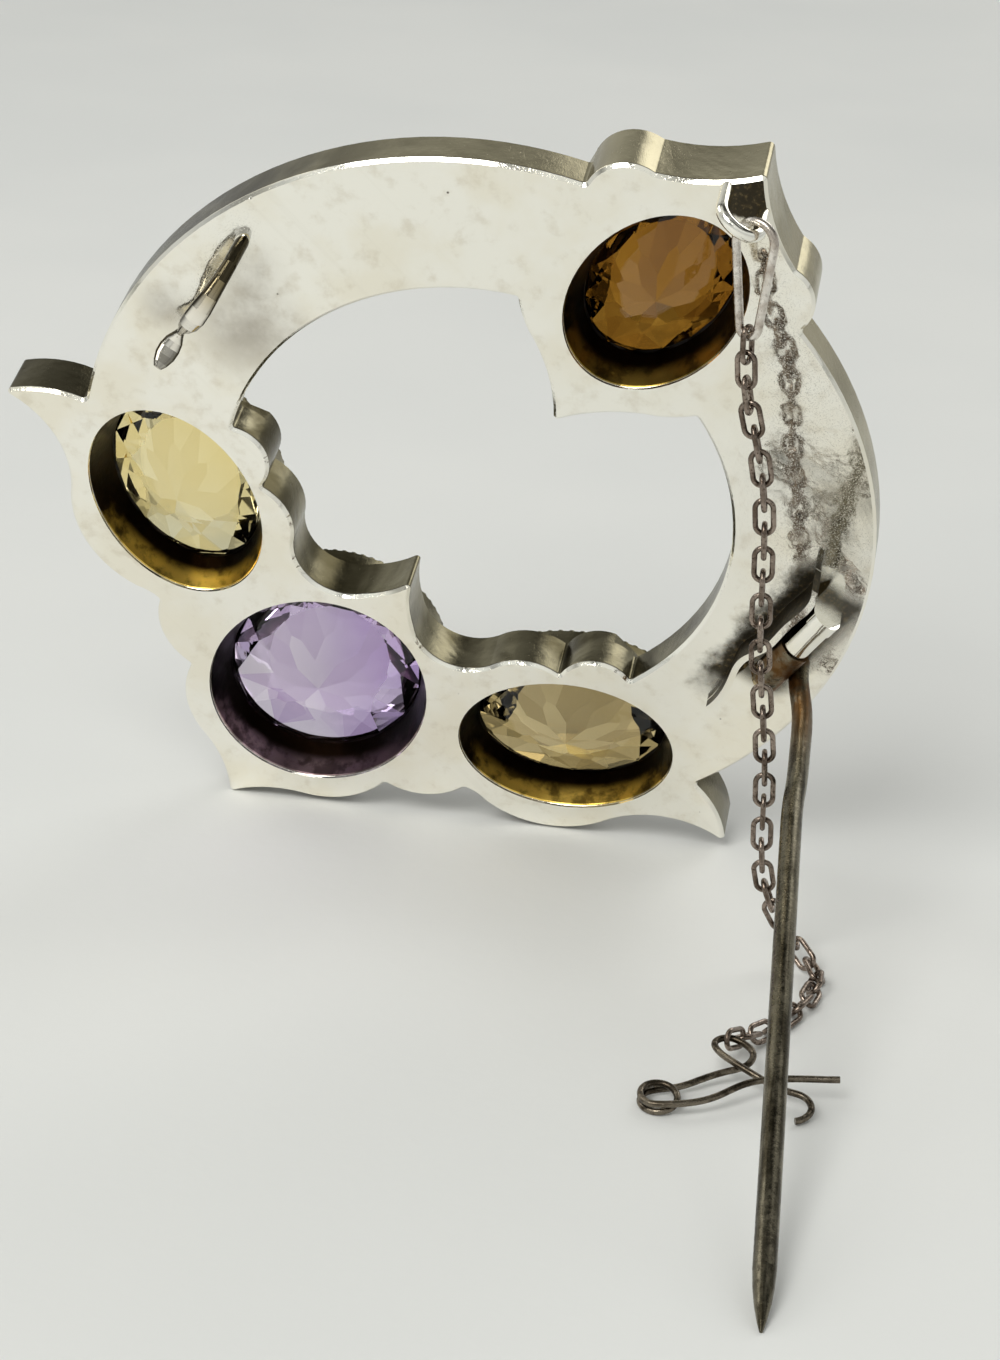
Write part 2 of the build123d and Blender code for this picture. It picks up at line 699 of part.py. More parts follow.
# Points of both arms, right and up as shares of the pin's length, above the plane in wires
point_arm = [
    (1, 0.416, 2.38), (0.822, 0.393, 2.14), (0.645, 0.364, 1.81), (0.523, 0.322, 1.57),
    (0.439, 0.262, 1.43), (0.346, 0.173, 1.43), (0.206, 0.092, 1.43),
]
eye_and_head = [
    (0.103, 0.282, -2.29), (0.243, 0.374, -2), (0.383, 0.463, -1.71), (0.481, 0.533, -1.43),
    (0.5, 0.612, -0.95), (0.439, 0.678, -0.38), (0.339, 0.701, 0), (0.28, 0.645, 0.38),
    (0.308, 0.561, 0.86), (0.393, 0.486, 1.05), (0.505, 0.425, 0.38), (0.617, 0.379, -0.76),
    (0.72, 0.35, -1.43), (0.818, 0.327, -1.81), (0.864, 0.248, -2), (0.836, 0.164, -2),
    (0.785, 0.126, -1.9),
]


def safety_points(rows):
    return [(x * safety_length, y * safety_length, level * safety_wire) for x, y, level in rows]


coil_points = []
for k in range(round(coil_turns * coil_steps) + 1):
    angle = radians(coil_start_angle - 360 * k / coil_steps)
    coil_points.append((
        coil_centre[0] + coil_radius * cos(angle),
        coil_centre[1] + coil_radius * sin(angle),
        coil_level * safety_wire - coil_lead * k / coil_steps,
    ))

with BuildPart() as safety_pin:
    with BuildLine(safety_plane) as safety_path:
        Spline(*safety_points(point_arm), *coil_points, *safety_points(eye_and_head))
    with BuildSketch(Plane(origin=safety_path.line @ 0, z_dir=safety_path.line % 0)):
        Circle(safety_wire)
    sweep(path=safety_path.line, is_frenet=True)

safety_pin.part.label = "safety_pin"
export_step(safety_pin.part, "parts/safety_pin.step")
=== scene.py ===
import math
from collections import namedtuple

import bpy
from mathutils import Matrix, Vector


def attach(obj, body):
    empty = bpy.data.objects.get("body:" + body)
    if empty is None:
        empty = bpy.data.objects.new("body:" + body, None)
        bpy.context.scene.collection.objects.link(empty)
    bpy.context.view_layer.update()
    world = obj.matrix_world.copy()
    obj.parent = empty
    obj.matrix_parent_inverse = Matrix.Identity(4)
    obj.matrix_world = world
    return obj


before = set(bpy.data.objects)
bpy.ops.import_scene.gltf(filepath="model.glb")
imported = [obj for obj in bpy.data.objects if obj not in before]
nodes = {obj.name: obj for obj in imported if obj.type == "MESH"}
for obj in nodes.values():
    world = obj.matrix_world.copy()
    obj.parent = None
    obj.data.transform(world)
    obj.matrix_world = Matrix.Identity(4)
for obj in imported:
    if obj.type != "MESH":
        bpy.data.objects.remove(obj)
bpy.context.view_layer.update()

MM = 0.001

# How the brooch stands: its ring's centre in millimetres, and its directions across the width,
# along the long axis and out of the back
LEAN, TURN = math.radians(16.1), math.radians(33.9)
RING_CENTRE = Vector((1.46, 17.72, 25.709))
ACROSS = Vector((
    math.cos(TURN), math.sin(TURN) * math.sin(LEAN), -math.sin(TURN) * math.cos(LEAN)
))
BACK = Vector((0, -math.cos(LEAN), -math.sin(LEAN)))
ALONG = BACK.cross(ACROSS)
DOWN = Vector((0, 0, -1))
PIN_RUN = Vector((0.06726, -0.94509, -0.31982))
SAFETY_PIN_RUN = Vector((1, 0, 0))
BROOCH = Matrix((ACROSS, ALONG, BACK)).transposed().to_4x4()
BROOCH.translation = RING_CENTRE * MM

# Stones: place across and along, half length and half width in millimetres, and the slope of
# the length in degrees
Stone = namedtuple("Stone", "name across along half_length half_width slope")
STONES = [
    Stone("amethyst", 0.0, -20.0, 7.2, 6.45, 90.0),
    Stone("citrine_left", -15.7, -12.4, 6.45, 4.55, 143.8),
    Stone("citrine_right", 15.7, -12.4, 6.45, 4.55, 36.2),
    Stone("cairngorm", 0.0, 20.7, 5.8, 4.1, 90.0),
]


def opaque(red, green, blue):
    return (red, green, blue, 1.0)


def plate_point(across, along, height=0.0):
    """A point in millimetres, from its place on the plate's back."""
    return RING_CENTRE + ACROSS * across + ALONG * along + BACK * height


class Channel:
    """A shader value; arithmetic on it adds Math nodes."""

    def __init__(self, work, socket):
        self.work, self.socket = work, socket

    def _math(self, operation, first, second):
        return self.work.node("ShaderNodeMath", {"operation": operation}, {0: first, 1: second})

    def __add__(self, other):
        return self._math("ADD", self, other)

    def __radd__(self, other):
        return self._math("ADD", other, self)

    def __sub__(self, other):
        return self._math("SUBTRACT", self, other)

    def __rsub__(self, other):
        return self._math("SUBTRACT", other, self)

    def __mul__(self, other):
        return self._math("MULTIPLY", self, other)

    def __rmul__(self, other):
        return self._math("MULTIPLY", other, self)

    def __truediv__(self, other):
        return self._math("DIVIDE", self, other)

    def __rtruediv__(self, other):
        return self._math("DIVIDE", other, self)

    def __pow__(self, other):
        return self._math("POWER", self, other)

    def __abs__(self):
        return self._math("ABSOLUTE", self, 0.0)


class NodeWork:
    """Nodes put together in one empty tree."""

    def __init__(self, tree):
        self.tree = tree
        self.tree.nodes.clear()

    def node(self, kind, settings=None, sockets=None, output=0):
        """Adds a node: its settings first, a ramp's stops among them, then its sockets."""
        made = self.tree.nodes.new(kind)
        for key, value in (settings or {}).items():
            if key == "stops":
                ramp = made.color_ramp
                while len(ramp.elements) < len(value):
                    ramp.elements.new(0.5)
                for element, (place, colour) in zip(ramp.elements, value):
                    element.position, element.color = place, colour
            else:
                setattr(made, key, value)
        for key, value in (sockets or {}).items():
            if isinstance(value, Channel):
                self.tree.links.new(value.socket, made.inputs[key])
            else:
                made.inputs[key].default_value = value
        return Channel(self, made.outputs[output]) if made.outputs else None

    def rise(self, value, low, high, start=0.0, end=1.0):
        """Goes smoothly from start to end as a value goes from low to high."""
        return self.node("ShaderNodeMapRange", {"interpolation_type": "SMOOTHSTEP"}, {
            "Value": value, "From Min": low, "From Max": high, "To Min": start, "To Max": end,
        })

    def fall(self, value, low, high):
        """Goes smoothly from 1 to 0 as a value goes from low to high."""
        return 1 - self.rise(value, low, high)

    def between(self, value, low_edge, high_edge):
        """1 between two soft edges and 0 outside them."""
        return self.rise(value, *low_edge) * self.fall(value, *high_edge)

    def mix(self, share, first, second):
        """Blends two colours."""
        return self.node(
            "ShaderNodeMix", {"data_type": "RGBA"}, {0: share, 6: first, 7: second}, 2
        )

    def bands(self, value, stops):
        """Colours along a ramp."""
        return self.node("ShaderNodeValToRGB", {"stops": stops}, {0: value})


class Finish(NodeWork):
    """One procedural material while its nodes are put together."""

    def __init__(self, name):
        self.material = bpy.data.materials.new(name)
        self.material.use_nodes = True
        super().__init__(self.material.node_tree)
        metres = self.node("ShaderNodeTexCoord", output="Object")
        self.spot = self.node(
            "ShaderNodeVectorMath", {"operation": "SCALE"}, {0: metres, "Scale": 1 / MM}
        )

    def dot(self, vector, direction):
        return self.node(
            "ShaderNodeVectorMath", {"operation": "DOT_PRODUCT"}, {0: vector, 1: direction}, "Value"
        )

    def along(self, direction, origin=RING_CENTRE):
        """Distance in millimetres along a direction from a point."""
        return self.dot(self.spot, direction) - direction.dot(origin)

    def facing(self, direction):
        """How far the surface faces a direction, from -1 to 1."""
        return self.dot(self.node("ShaderNodeTexCoord", output="Normal"), direction)

    def near(self, point, reach):
        """1 at a point in millimetres, falling to 0 at a reach from it."""
        distance = self.node(
            "ShaderNodeVectorMath", {"operation": "DISTANCE"}, {0: self.spot, 1: point}, "Value"
        )
        return self.fall(distance, 0.0, reach)

    def stretched(self, stretch, turned):
        """The place, turned and then stretched along its axes."""
        return self.node(
            "ShaderNodeMapping", {"vector_type": "TEXTURE"},
            {"Vector": self.spot, "Rotation": turned, "Scale": stretch},
        )

    def grain(self, direction, stretch):
        """The place, drawn out along a direction, for marks that run with it."""
        shift = self.node(
            "ShaderNodeVectorMath", {"operation": "SCALE"},
            {0: direction, "Scale": self.dot(self.spot, direction) * (1 / stretch - 1)},
        )
        return self.node("ShaderNodeVectorMath", {"operation": "ADD"}, {0: self.spot, 1: shift})

    def facets(self, scale):
        """A tone for each flat facet, from the way it faces."""
        normal = self.node("ShaderNodeTexCoord", output="Normal")
        return self.node(
            "ShaderNodeTexNoise", {}, {"Vector": normal, "Scale": scale, "Detail": 1.0}
        )

    def noise(self, scale, detail=4.0, roughness=0.55, distortion=0.0, at=None):
        return self.node("ShaderNodeTexNoise", {}, {
            "Vector": at or self.spot, "Scale": scale, "Detail": detail,
            "Roughness": roughness, "Distortion": distortion,
        })

    def cells(self, scale):
        """Distance to the nearest of scattered points, in their own spacing."""
        return self.node(
            "ShaderNodeTexVoronoi", {}, {"Vector": self.spot, "Scale": scale}, "Distance"
        )

    def lay(self, colour, tone, mask, share=1.0):
        """Lays a share of a tone over a colour, where a mask lets it."""
        return self.mix(mask * share, colour, tone)

    def bump(self, height, strength, distance=0.02):
        """Bump from a height whose full range is a distance in millimetres."""
        return self.node("ShaderNodeBump", {}, {
            "Height": height, "Strength": strength, "Distance": distance * MM,
        })

    def surface(self, **values):
        """Ends the material with one shader; names hold _ for spaces."""
        sockets = {key.replace("_", " "): value for key, value in values.items()}
        shader = self.node("ShaderNodeBsdfPrincipled", {}, sockets)
        self.node("ShaderNodeOutputMaterial", {}, {"Surface": shader})
        return self.material


# The mount's silver
BRIGHT_SILVER = opaque(0.965, 0.945, 0.865)
WARM_SILVER = opaque(0.925, 0.885, 0.765)
TARNISH = opaque(0.60, 0.52, 0.38)
STREAK = opaque(0.55, 0.50, 0.40)
PIT = opaque(0.08, 0.06, 0.04)
WALL_DARK = opaque(0.052, 0.042, 0.017)
WALL_PALE = opaque(0.30, 0.27, 0.18)
WALL_SPOT = opaque(0.05, 0.042, 0.02)
# Painted light for the walls' upper part, and painted shade for their lower part and their left end
WALL_PAINTED_LIGHT = opaque(0.46, 0.41, 0.27)
WALL_PAINTED_SHADE_LOW = opaque(0.11, 0.095, 0.05)
WALL_PAINTED_SHADE_LEFT = opaque(0.06, 0.05, 0.027)
# Painted shade deep in the collets, and the colours of the painted gilded and plum glints near
# their rims
COLLET_SHADE = opaque(0.010, 0.005, 0.002)
GILT_GLINT = opaque(0.80, 0.54, 0.11)
PLUM_GLINT = opaque(0.80, 0.55, 0.60)
# Dark oxidised stain colours, also used for painted shade at the hinge and a painted dark
# reflection under the loop
OXIDE_AND_SHADE = opaque(0.026, 0.019, 0.008)
OXIDE_AND_SHADE_BROWN = opaque(0.12, 0.085, 0.035)
BREATH = opaque(0.36, 0.325, 0.28)
# Brushed lines with a painted dark reflection, beside the hinge
BRUSHED_DARK_REFLECTION = opaque(0.22, 0.20, 0.15)
CATCH_SILVER = opaque(0.90, 0.86, 0.77)
CATCH_BRASS = opaque(0.42, 0.34, 0.19)
CATCH_SHADE = opaque(0.055, 0.045, 0.026)

# Soft edges on the mount, each from its first number to its second. Heights out of the back
BACK_LOW, BACK_HIGH = (-0.12, -0.03), (0.03, 0.12)
WALL_START = (-0.12, -0.3)
COLLET_FLOOR, COLLET_RIM = (-4.9, -4.3), (-0.2, -0.1)
# How deep below the rim the painted glints reach
GLINT_DEPTH = (-0.8, -1.9)
LEAF_FOOT, CATCH_FOOT = (0.0, 0.1), (0.05, 0.2)

# Places across and along
STAIN_LEFT, STAIN_RIGHT = (17.9, 19.4), (20.6, 20.9)
STAIN_LOW, STAIN_HIGH = (-2.8, 0.5), (10.6, 12.2)
# SEAT: painted shade in the hollow between the hinge leaf and the knuckle
SEAT_LEFT, SEAT_RIGHT = (20.3, 20.8), (23.2, 24.6)
SEAT_LOW, SEAT_HIGH = (0.2, 1.6), (10.2, 11.4)
LEAF_LEFT, LEAF_FACE = (18.8, 19.0), (-0.03, 0.03)
LEAF_LOW, LEAF_HIGH = (-2.8, -2.6), (11.5, 11.7)
LEAF_CURVE = (-2.4, 3.0, 21.3, 20.45)     # from and to along, then the face's place across
CATCH_MIDDLE, CATCH_SIDE = -22.2, (1.1, 1.3)
CATCH_LOW, CATCH_TOP = (-2.4, -1.9), (4.0, 6.8)
# LOOP: a painted dark reflection on the plate under the loop
LOOP_ALONG, LOOP_REACH = 30.3, 2.9
# Where the brushed lines with their painted dark reflection lie, and their reach
BRUSHED_REFLECTION_SPOT, BRUSHED_REFLECTION_REACH = (18.8, 15.4), 5.0

# Soft grey marks round the catch: across, along, reach and strength
BREATH_SPOTS = [(-18.6, 2.7, 5.2, 1.0), (-23.6, 0.8, 2.6, 0.8), (-20.5, 6.6, 3.0, 0.7)]

COLLET_WALL = 1.15                        # a collet's edge outside its stone's
# Where the painted plum glint in the amethyst's collet sits, and its reach
PLUM_GLINT_ASIDE, PLUM_GLINT_BELOW, PLUM_GLINT_REACH = -3.2, -6.4, 6.5
SCRATCH_SPACING, SCRATCH_LENGTH = 0.09, 14
SCRATCH_TURNS = (0.4, 1.5, 2.6)

# How much each mark roughens the silver, and how far it stands out
ROUGH = {"wall": 0.17, "inside": 0.07, "scratch": 0.03, "oxide_and_shade": 0.3, "breath": 0.07}
PLATE_RELIEF = {"cloud": 2.2, "blotch": 0.22, "pit": -0.6, "scratch": -0.08, "streak": 0.10}
WALL_RELIEF = {"patch": 5.0, "speck": 0.35}
COLLET_RELIEF = 1.2


class MountSilver(Finish):
    """Mirror-bright back, collets with painted shade deep inside and painted gilded glints at their
    rims, mottled side walls with painted light and shade, and oxidised stains at the hinge beside
    painted shade and a painted dark reflection.
    """

    def __init__(self):
        super().__init__("polished_silver")
        self.right, self.up = self.along(ACROSS), self.along(ALONG)
        self.height = self.along(BACK)
        self.flat = abs(self.facing(BACK))
        self.marks = {
            "cloud": self.noise(0.16),
            "blotch": self.noise(0.7, 5.0, 0.6),
            "speck": self.noise(3.2, 4.0, 0.6),
            "patch": self.noise(0.20, 3.0, 0.5, 0.5),
            "streak": self.noise(1.4, 3.0, at=self.grain(ACROSS - ALONG * 0.25, 12.0)),
            "pit": self.fall(self.cells(0.42), 0.03, 0.055),
            "scratch": self.scratches(),
            "wall": self.fall(self.flat, 0.35, 0.8) * self.rise(self.height, *WALL_START),
        }
        self.on_back = self.rise(self.flat, 0.9, 0.97) * self.between(
            self.height, BACK_LOW, BACK_HIGH
        )

    def weighted(self, weights):
        """The sum of the marks, each by its weight."""
        total = 0
        for name, weight in weights.items():
            total = self.marks[name] * weight + total
        return total

    def scratches(self):
        """Thin bright lines in three directions, 1 on a line and 0 between them."""
        lines = 0
        for turned in SCRATCH_TURNS:
            long_grain = self.stretched(
                (SCRATCH_SPACING, SCRATCH_SPACING * SCRATCH_LENGTH, SCRATCH_SPACING),
                (turned, turned * 0.7, turned),
            )
            lines = self.rise(self.noise(1.0, 2.0, at=long_grain), 0.62, 0.74) + lines
        return lines

    def plate(self):
        """Warm clouds and faint tarnish over the bright silver."""
        marks = self.marks
        colour = self.mix(self.rise(marks["cloud"], 0.42, 0.66), BRIGHT_SILVER, WARM_SILVER)
        tarnish = self.rise(marks["blotch"], 0.50, 0.74) * self.on_back
        colour = self.lay(colour, TARNISH, tarnish, 0.34)
        return self.lay(
            colour, STREAK, self.rise(marks["streak"], 0.58, 0.72) * self.on_back, 0.05
        )

    def walls(self, colour):
        """Olive side walls, with painted light that makes them paler at the top, and painted shade
        that makes them darker low down and at the left.
        """
        marks = self.marks
        olive = self.mix(self.rise(marks["patch"], 0.38, 0.63), WALL_DARK, WALL_PALE)
        olive = self.lay(olive, WALL_SPOT, self.rise(marks["blotch"], 0.52, 0.74), 0.4)
        olive = self.lay(olive, WALL_PAINTED_LIGHT, self.rise(self.up, 10.0, 24.0), 0.7)
        olive = self.lay(olive, WALL_PAINTED_SHADE_LOW, self.rise(self.up, 3.0, -9.0), 0.4)
        olive = self.lay(olive, WALL_PAINTED_SHADE_LEFT, self.rise(self.right, -19.0, -24.0), 0.65)
        return self.mix(marks["wall"], colour, olive)

    def collets(self, colour):
        """Collets, with painted shade that makes them black deep inside, and painted gilded glints
        near the rim at their lower side.
        """
        blotch = self.marks["blotch"]
        self.marks["inside"] = 0
        for stone in STONES:
            turn = math.radians(stone.slope)
            aside, ahead = self.right - stone.across, self.up - stone.along
            first = aside * math.cos(turn) + ahead * math.sin(turn)
            second = ahead * math.cos(turn) - aside * math.sin(turn)
            ring = (
                (first / (stone.half_length + COLLET_WALL)) ** 2
                + (second / (stone.half_width + COLLET_WALL)) ** 2
            )
            within = self.fall(ring, 0.98, 1.03)
            within = within * self.between(self.height, COLLET_FLOOR, COLLET_RIM)
            middle = plate_point(stone.across, stone.along)
            lowness = self.along(DOWN, middle) + (blotch - 0.5) * 5.0
            # Painted gilded glints on the collet's lower side, near the rim
            gilt_glint = self.rise(lowness, 0.8, stone.half_width) * self.fall(self.height, *GLINT_DEPTH)
            gilt_glint = gilt_glint * self.rise(blotch, 0.38, 0.56, 0.35, 1.0)
            glint_colour = GILT_GLINT
            if stone.name == "cairngorm":
                gilt_glint = gilt_glint * 0.4
            if stone.name == "amethyst":
                glint = self.near(middle + ACROSS * PLUM_GLINT_ASIDE + ALONG * PLUM_GLINT_BELOW, PLUM_GLINT_REACH)
                gilt_glint = gilt_glint * self.rise(glint, 0.0, 0.8, 0.2, 1.0)
                glint_colour = PLUM_GLINT
            colour = self.mix(within, colour, self.mix(gilt_glint, COLLET_SHADE, glint_colour))
            self.marks["inside"] = within + self.marks["inside"]
        return colour

    def stains(self, colour):
        """Dark oxidised stain beside the hinge leaf, darkening on the leaf's side, painted shade
        between the leaf and the knuckle, and a painted dark reflection under the loop.
        """
        blotch = self.marks["blotch"]
        wander = (blotch - 0.5) * 2.4
        hinge = (
            self.rise(self.right + wander, *STAIN_LEFT) * self.fall(self.right, *STAIN_RIGHT)
            * self.between(self.up + wander, STAIN_LOW, STAIN_HIGH)
        )
        # Painted shade between the leaf and the knuckle
        seat = (
            self.rise(self.right, *SEAT_LEFT) * self.fall(self.right + wander * 0.5, *SEAT_RIGHT)
            * self.rise(self.up, *SEAT_LOW) * self.fall(self.up + wander * 0.5, *SEAT_HIGH)
        )
        leaf = (
            self.fall(self.right - self.rise(self.up, *LEAF_CURVE), *LEAF_FACE)
            * self.rise(self.right, *LEAF_LEFT) * self.between(self.up, LEAF_LOW, LEAF_HIGH)
            * self.rise(self.height, *LEAF_FOOT) * self.fall(self.flat, 0.75, 0.9)
        )
        # Painted dark reflection under the loop
        loop = self.near(plate_point(0.0, LOOP_ALONG), LOOP_REACH) + (blotch - 0.5) * 0.8
        loop = self.rise(loop, 0.30, 0.52)
        oxide_and_shade = (hinge * 0.97 + seat * 0.9 + loop * 0.97) * self.on_back + leaf * 0.97
        self.marks["oxide_and_shade"] = oxide_and_shade
        umber = self.mix(self.rise(self.marks["speck"], 0.5, 0.7), OXIDE_AND_SHADE, OXIDE_AND_SHADE_BROWN)
        return self.mix(oxide_and_shade, colour, umber)

    def greys(self, colour):
        """A soft breath of grey at the catch, and beside the hinge a patch of brushed lines that
        also carries a painted dark reflection.
        """
        breath = 0
        for across, along, reach, strength in BREATH_SPOTS:
            breath = self.near(plate_point(across, along), reach) * strength + breath
        drift = self.marks["cloud"] + self.marks["blotch"] * 0.5
        breath = breath * self.rise(drift, 0.55, 0.85, 0.35, 1.0) * self.on_back
        self.marks["breath"] = breath
        colour = self.lay(colour, BREATH, breath, 0.72)
        brushed = self.noise(2.2, 3.0, 0.6, at=self.grain(ACROSS - ALONG * 0.5, 9.0))
        # Brushed lines darkened by a painted dark reflection
        brushed_reflection = self.near(plate_point(*BRUSHED_REFLECTION_SPOT), BRUSHED_REFLECTION_REACH) * self.rise(brushed, 0.42, 0.62)
        return self.lay(colour, BRUSHED_DARK_REFLECTION, brushed_reflection * self.on_back, 0.22)

    def catch(self, colour):
        """The catch, with painted shade on its sides, where they turn away from the back, and
        brassy at its top.
        """
        side = self.fall(abs(self.right - CATCH_MIDDLE), *CATCH_SIDE)
        side = side * self.rise(self.height, *CATCH_FOOT) * self.rise(self.up, *CATCH_LOW)
        brass_and_shade = self.mix(self.rise(self.up, *CATCH_TOP), CATCH_SILVER, CATCH_BRASS)
        # Painted shade on the catch's sides, where they turn away from the back
        brass_and_shade = self.mix(self.rise(self.flat, 0.60, 0.93), CATCH_SHADE, brass_and_shade)
        return self.mix(side, colour, brass_and_shade)

    def finished(self):
        marks = self.marks
        colour = self.collets(self.walls(self.plate()))
        colour = self.catch(self.greys(self.stains(colour)))
        worn = self.rise(marks["blotch"], 0.5, 0.6)
        colour = self.mix(marks["pit"] * self.on_back * worn, colour, PIT)
        rough = self.rise(marks["blotch"], 0.4, 0.7, 0.045, 0.085) + self.weighted(ROUGH)
        relief = (
            self.weighted(PLATE_RELIEF) + self.weighted(WALL_RELIEF) * marks["wall"]
            + marks["blotch"] * marks["inside"] * COLLET_RELIEF + marks["speck"] * marks["oxide_and_shade"]
        )
        return self.surface(
            Base_Color=colour, Roughness=rough, Metallic=1.0, Normal=self.bump(relief, 0.5, 0.05)
        )


def chain_silver(name, light, dark, tarnish):
    """Worn silver, with dark tarnish in a share of its specks."""
    f = Finish(name)
    blotch, speck = f.noise(0.9), f.noise(4.5, 4.0, 0.6)
    colour = f.mix(f.rise(blotch, 0.35, 0.65), light, dark)
    colour = f.lay(colour, opaque(0.065, 0.045, 0.032), f.rise(speck, 0.52, 0.68), tarnish)
    return f.surface(
        Base_Color=colour, Roughness=f.rise(speck, 0.3, 0.7, 0.16, 0.34), Metallic=1.0,
        Normal=f.bump(speck + blotch, 0.35, 0.05),
    )


def worn_steel(name, light, dark, grain, rust_point=None, rust_reach=None):
    """Grey-brown wire with a grain along it, dark specks and rust near one end."""
    f = Finish(name)
    blotch, speck = f.noise(0.45, 5.0, 0.6), f.noise(2.6, 5.0, 0.65)
    drawn = f.noise(1.9, 3.0, 0.6, at=f.grain(grain, 16.0))
    pits = f.rise(speck, 0.58, 0.70)
    colour = f.mix(f.rise(drawn + (blotch - 0.5) * 0.5, 0.40, 0.62), light, dark)
    colour = f.lay(colour, opaque(0.035, 0.026, 0.017), pits, 0.55)
    rough = f.rise(speck, 0.3, 0.7, 0.20, 0.36)
    if rust_point is not None:
        rust = f.near(rust_point, rust_reach) * f.rise(blotch, 0.36, 0.52)
        colour = f.lay(colour, opaque(0.15, 0.068, 0.016), rust, 0.8)
        rough = rough + rust * 0.15
    return f.surface(
        Base_Color=colour, Roughness=rough, Metallic=1.0,
        Normal=f.bump(speck * 0.6 + drawn - pits * 0.5, 0.45, 0.05),
    )


FACET_SHADE_SCALE = 23.0
STONE_ROUGHNESS, STONE_INDEX = 0.015, 1.47


def cut_glass(name, pale, deep, shadow, zone_direction, zone_middle, zone_width):
    """Clear coloured stone: soft zones of colour, and painted shade on a share of the facets, each
    facet its own, standing in for the light it sends back.
    """
    f = Finish(name)
    zone = f.along(zone_direction) - zone_middle + (f.noise(0.22, 2.0) - 0.5) * 6.0
    colour = f.mix(f.rise(zone, -zone_width, zone_width), pale, deep)
    # Painted shade on a share of the facets, standing in for the light each facet sends back
    shaded = f.fall(f.facets(FACET_SHADE_SCALE), 0.40, 0.60)
    colour = f.lay(colour, shadow, shaded, 0.9)
    return f.surface(
        Base_Color=colour, Roughness=STONE_ROUGHNESS, Transmission_Weight=1.0, IOR=STONE_INDEX,
        Metallic=0.0,
    )


def banded_agate(name, stops, scale, specks=None):
    """Polished stone with wavy bands, and flecks of a second colour if given."""
    f = Finish(name)
    flow = f.noise(0.12, 3.0) * 3.4 + f.noise(0.5, 5.0) * 0.5
    layer = f.along(ALONG + ACROSS * 0.35) * scale + flow
    wave = f.node("ShaderNodeMath", {"operation": "PINGPONG"}, {0: layer, 1: 1.0})
    colour = f.bands(wave, stops)
    grain = f.noise(2.4, 6.0, 0.65)
    if specks:
        colour = f.mix(f.rise(grain, 0.58, 0.66), colour, specks)
    return f.surface(
        Base_Color=colour, Roughness=f.rise(grain, 0.3, 0.7, 0.10, 0.2), Metallic=0.0,
        Coat_Weight=0.6, Coat_Roughness=0.05, Normal=f.bump(grain, 0.15),
    )


def floor_paper():
    """Smooth off-white paper."""
    f = Finish("floor_paper")
    cloud, tooth = f.noise(0.012, 3.0), f.noise(0.9)
    colour = f.mix(f.rise(cloud, 0.35, 0.65), opaque(0.80, 0.80, 0.78), opaque(0.76, 0.765, 0.75))
    return f.surface(
        Base_Color=colour, Roughness=0.55, Metallic=0.0,
        Normal=f.bump(tooth + cloud * 8, 0.2, 0.12),
    )


def cover(piece, material):
    """Puts one material on every slot of a piece."""
    if not piece.data.materials:
        piece.data.materials.append(material)
    for place in range(len(piece.data.materials)):
        piece.data.materials[place] = material


silver = MountSilver().finished()
finishes = {
    "silver_mount": silver,
    "hinge_rivet": worn_steel(
        "rivet_steel", light=opaque(0.42, 0.34, 0.20), dark=opaque(0.16, 0.12, 0.07), grain=ALONG
    ),
    "brooch_pin": worn_steel(
        "pin_steel", light=opaque(0.185, 0.165, 0.118), dark=opaque(0.052, 0.044, 0.028),
        grain=PIN_RUN, rust_point=plate_point(22.6, 4.6, 3.0), rust_reach=8.0,
    ),
    "safety_pin": worn_steel(
        "safety_pin_steel", light=opaque(0.20, 0.17, 0.13), dark=opaque(0.06, 0.048, 0.034),
        grain=SAFETY_PIN_RUN,
    ),
    "long_link": chain_silver(
        "long_link_silver", light=opaque(0.80, 0.76, 0.70), dark=opaque(0.50, 0.44, 0.38),
        tarnish=0.35,
    ),
    "chain": chain_silver(
        "tarnished_chain_silver", light=opaque(0.33, 0.27, 0.225), dark=opaque(0.13, 0.098, 0.076),
        tarnish=1.0,
    ),
    "amethyst": cut_glass(
        "amethyst_stone", pale=opaque(0.87, 0.80, 0.93), deep=opaque(0.44, 0.25, 0.70),
        shadow=opaque(0.52, 0.38, 0.66),
        zone_direction=ACROSS + ALONG, zone_middle=-17.0, zone_width=9.0,
    ),
    "citrine_left": cut_glass(
        "pale_citrine", pale=opaque(0.98, 0.92, 0.64), deep=opaque(0.95, 0.78, 0.32),
        shadow=opaque(0.78, 0.62, 0.24),
        zone_direction=ALONG, zone_middle=-12.0, zone_width=6.0,
    ),
    "citrine_right": cut_glass(
        "smoky_citrine", pale=opaque(0.80, 0.66, 0.36), deep=opaque(0.62, 0.48, 0.22),
        shadow=opaque(0.32, 0.23, 0.085),
        zone_direction=ALONG, zone_middle=-12.0, zone_width=6.0,
    ),
    "cairngorm": cut_glass(
        "orange_cairngorm", pale=opaque(0.40, 0.20, 0.028), deep=opaque(0.29, 0.125, 0.014),
        shadow=opaque(0.15, 0.055, 0.005),
        zone_direction=ALONG, zone_middle=20.7, zone_width=6.0,
    ),
}
red = banded_agate(
    "red_agate",
    [
        (0.0, opaque(0.33, 0.05, 0.03)),
        (0.5, opaque(0.45, 0.11, 0.05)),
        (1.0, opaque(0.22, 0.035, 0.025)),
    ],
    scale=0.25, specks=opaque(0.55, 0.28, 0.12),
)
